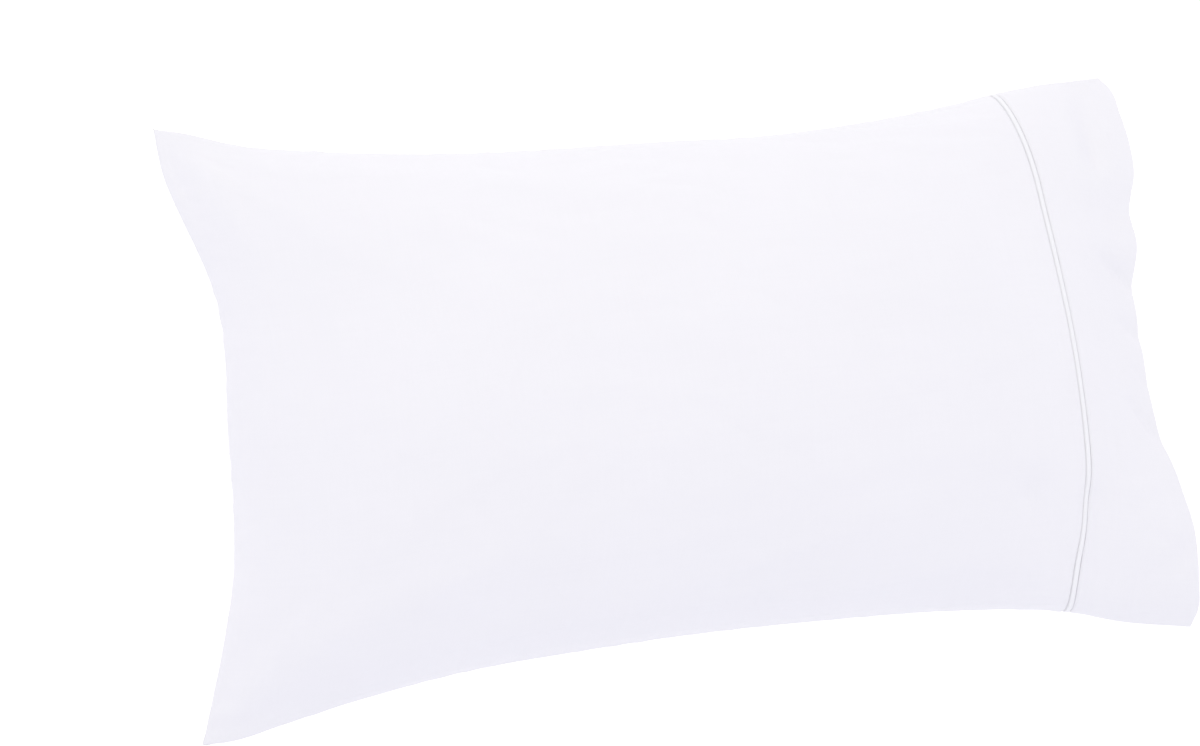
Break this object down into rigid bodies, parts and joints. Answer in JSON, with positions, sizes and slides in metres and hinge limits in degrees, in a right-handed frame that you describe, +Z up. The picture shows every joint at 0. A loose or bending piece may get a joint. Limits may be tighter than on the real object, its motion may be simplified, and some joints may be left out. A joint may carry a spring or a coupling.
{
  "type": "pillowcase",
  "caption": "Filled pillowcase lying on its back, with a domed face, drawn-in sides, pointed ears and a wide open hem sewn on over a narrow flat strip.",
  "frame": {"origin": "middle of the underside, on the surface that the case lies on", "axes": "+X along the case from its closed end to its open hem, +Y across it, +Z up through its upper face"},
  "size_m": [0.855, 0.5052, 0.1721],
  "materials": {
    "case_cloth": "matte brushed",
    "strip_cloth": "matte brushed",
    "cuff_cloth": "matte brushed"
  },
  "bodies": {
    "root": {"case_body": "case_cloth", "hem_strip": "strip_cloth", "hem_cuff": "cuff_cloth"}
  },
  "joints": []
}
